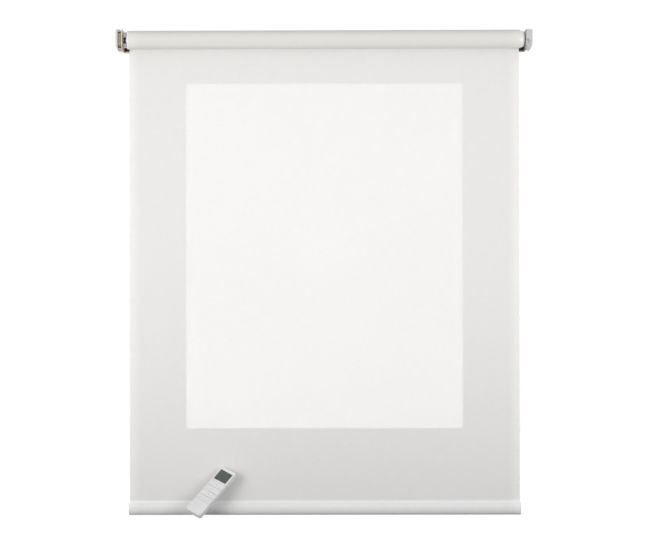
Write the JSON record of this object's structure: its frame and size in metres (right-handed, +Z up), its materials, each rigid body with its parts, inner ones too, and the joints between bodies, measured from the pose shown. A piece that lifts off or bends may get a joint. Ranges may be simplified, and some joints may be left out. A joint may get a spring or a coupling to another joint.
{
  "type": "motorized roller blind",
  "caption": "Battery roller blind: white fabric on a tube between two end brackets, tubular motor inside, weighted hem bar, and a remote handset.",
  "frame": {"origin": "in the wall plane, midway between the brackets and level with the roll's axis", "axes": "+X right along the roll seen from the room, +Y out of the room into the wall, +Z up"},
  "size_m": [1, 0.1095, 1.17],
  "materials": {
    "zinc": "yellow zinc, satin",
    "grey_cup": "satin",
    "left_cover": "glossy",
    "right_cover": "satin",
    "black_plastic": "satin",
    "steel": "plain",
    "dark_ring": "dark, polished",
    "tube": "extruded",
    "strip": "plain",
    "fabric": "plain weave, white",
    "white_plastic": "smooth",
    "handset_white": "satin",
    "handset_grey": "satin",
    "window": "clear",
    "display": "dark green",
    "board": "green",
    "rubber": "plain",
    "cell": "sleeved"
  },
  "bodies": {
    "brackets": {"left_bracket_plate": "zinc", "right_bracket_plate": "zinc", "left_bracket_cover": "left_cover", "right_bracket_cover": "right_cover", "motor_seat": "zinc", "idler_seat": "grey_cup", "lever_rivets": "steel", "seat_screws": "steel", "fabric_sheet": "fabric", "motor_head": "black_plastic", "head_trim_ring": "dark_ring", "charging_inlet": "steel", "motor_housing": "steel", "control_board": "board", "battery_tray": "white_plastic", "battery_cells": "cell", "motor_can": "steel", "ring_gear": "steel", "gearbox_cap": "white_plastic", "idler_bush": "black_plastic"},
    "roll": {"roller_tube": "tube", "fabric_strip": "strip", "fabric_roll": "fabric", "crown_ring": "white_plastic", "drive_wheel": "white_plastic", "output_carrier": "steel", "idler_plug": "white_plastic", "idler_spring": "steel", "idler_cap": "white_plastic"},
    "hem": {"hem_pocket": "fabric", "hem_bar": "tube", "hem_end_caps": "white_plastic"},
    "motor_rotor": {"motor_rotor": "steel"},
    "first_carrier": {"first_carrier": "steel"},
    "first_planet_1": {"first_planet_1": "steel"},
    "first_planet_2": {"first_planet_2": "steel"},
    "first_planet_3": {"first_planet_3": "steel"},
    "second_planet_1": {"second_planet_1": "steel"},
    "second_planet_2": {"second_planet_2": "steel"},
    "second_planet_3": {"second_planet_3": "steel"},
    "idler_pin": {"idler_pin": "steel"},
    "left_lever": {"left_release_lever": "black_plastic"},
    "right_lever": {"right_release_lever": "black_plastic"},
    "set_button": {"set_button": "black_plastic"},
    "handset": {"handset_back": "handset_white", "handset_front": "handset_white", "handset_face": "handset_grey", "display_window": "window", "display_panel": "display", "handset_board": "board", "keypad_mat": "rubber", "coin_cell": "cell", "battery_contacts": "steel", "handset_screws": "steel"},
    "key_up": {"key_up": "handset_grey"},
    "key_stop": {"key_stop": "handset_grey"},
    "key_down": {"key_down": "handset_grey"},
    "key_left": {"key_left": "handset_grey"},
    "key_right": {"key_right": "handset_grey"},
    "battery_door": {"battery_door": "handset_white"}
  },
  "joints": [
    {"name": "tube_spin", "type": "hinge", "parent": "brackets", "child": "roll", "pos_m": [0, -0.034, 0], "axis": [1, 0, 0], "range_deg": [0, 2520]},
    {"name": "hem_slide", "type": "slide", "parent": "brackets", "child": "hem", "axis": [0, 0, 1], "range_m": [0, 1.07], "deforming": ["fabric_sheet"]},
    {"name": "rotor_spin", "type": "hinge", "parent": "brackets", "child": "motor_rotor", "pos_m": [0, -0.034, 0], "axis": [1, 0, 0], "range_deg": [0, 51030]},
    {"name": "first_carrier_spin", "type": "hinge", "parent": "brackets", "child": "first_carrier", "pos_m": [0, -0.034, 0], "axis": [1, 0, 0], "range_deg": [0, 11340]},
    {"name": "first_planet_1_spin", "type": "hinge", "parent": "first_carrier", "child": "first_planet_1", "pos_m": [0, -0.02455, 0], "axis": [1, 0, 0], "range_deg": [-31753, 0]},
    {"name": "first_planet_2_spin", "type": "hinge", "parent": "first_carrier", "child": "first_planet_2", "pos_m": [0, -0.03873, 0.00818], "axis": [1, 0, 0], "range_deg": [-31753, 0]},
    {"name": "first_planet_3_spin", "type": "hinge", "parent": "first_carrier", "child": "first_planet_3", "pos_m": [0, -0.03873, -0.00818], "axis": [1, 0, 0], "range_deg": [-31753, 0]},
    {"name": "second_planet_1_spin", "type": "hinge", "parent": "roll", "child": "second_planet_1", "pos_m": [0, -0.02455, 0], "axis": [1, 0, 0], "range_deg": [-7057, 0]},
    {"name": "second_planet_2_spin", "type": "hinge", "parent": "roll", "child": "second_planet_2", "pos_m": [0, -0.03873, 0.00818], "axis": [1, 0, 0], "range_deg": [-7057, 0]},
    {"name": "second_planet_3_spin", "type": "hinge", "parent": "roll", "child": "second_planet_3", "pos_m": [0, -0.03873, -0.00818], "axis": [1, 0, 0], "range_deg": [-7057, 0]},
    {"name": "left_lever_turn", "type": "hinge", "parent": "brackets", "child": "left_lever", "pos_m": [0, -0.013, -0.009], "axis": [-1, 0, 0], "range_deg": [0, 9], "stiffness_Nm_per_rad": 0.05, "springref_deg": -17.19},
    {"name": "right_lever_turn", "type": "hinge", "parent": "brackets", "child": "right_lever", "pos_m": [0, -0.013, -0.009], "axis": [-1, 0, 0], "range_deg": [0, 9], "stiffness_Nm_per_rad": 0.05, "springref_deg": -17.19},
    {"name": "idler_pin_slide", "type": "slide", "parent": "roll", "child": "idler_pin", "axis": [-1, 0, 0], "range_m": [0, 0.007], "stiffness_N_per_m": 500, "springref_m": -0.006, "deforming": ["idler_spring"]},
    {"name": "set_button_press", "type": "slide", "parent": "brackets", "child": "set_button", "axis": [0, 1, 0], "range_m": [0, 0.0006], "stiffness_N_per_m": 500, "springref_m": -0.0006},
    {"name": "handset_lift", "type": "slide", "parent": "brackets", "child": "handset", "axis": [0, 0, 1], "range_m": [0, 0.25]},
    {"name": "key_up_press", "type": "slide", "parent": "handset", "child": "key_up", "axis": [0.2405, 0.7207, -0.6501], "range_m": [0, 0.0008], "stiffness_N_per_m": 400, "springref_m": -0.0008},
    {"name": "key_stop_press", "type": "slide", "parent": "handset", "child": "key_stop", "axis": [0.2405, 0.7207, -0.6501], "range_m": [0, 0.0008], "stiffness_N_per_m": 400, "springref_m": -0.0008},
    {"name": "key_down_press", "type": "slide", "parent": "handset", "child": "key_down", "axis": [0.2405, 0.7207, -0.6501], "range_m": [0, 0.0008], "stiffness_N_per_m": 400, "springref_m": -0.0008},
    {"name": "key_left_press", "type": "slide", "parent": "handset", "child": "key_left", "axis": [0.2405, 0.7207, -0.6501], "range_m": [0, 0.0008], "stiffness_N_per_m": 400, "springref_m": -0.0008},
    {"name": "key_right_press", "type": "slide", "parent": "handset", "child": "key_right", "axis": [0.2405, 0.7207, -0.6501], "range_m": [0, 0.0008], "stiffness_N_per_m": 400, "springref_m": -0.0008},
    {"name": "battery_door_slide", "type": "slide", "parent": "handset", "child": "battery_door", "axis": [-0.603, -0.414, -0.682], "range_m": [0, 0.034]}
  ],
  "couplings": [
    {"joint": "hem_slide", "follows": "tube_spin", "m_per_rad": 0.024328},
    {"joint": "rotor_spin", "follows": "tube_spin", "ratio": 20.25},
    {"joint": "first_carrier_spin", "follows": "tube_spin", "ratio": 4.5},
    {"joint": "first_planet_1_spin", "follows": "tube_spin", "ratio": -12.6},
    {"joint": "first_planet_2_spin", "follows": "tube_spin", "ratio": -12.6},
    {"joint": "first_planet_3_spin", "follows": "tube_spin", "ratio": -12.6},
    {"joint": "second_planet_1_spin", "follows": "tube_spin", "ratio": -2.8},
    {"joint": "second_planet_2_spin", "follows": "tube_spin", "ratio": -2.8},
    {"joint": "second_planet_3_spin", "follows": "tube_spin", "ratio": -2.8}
  ]
}
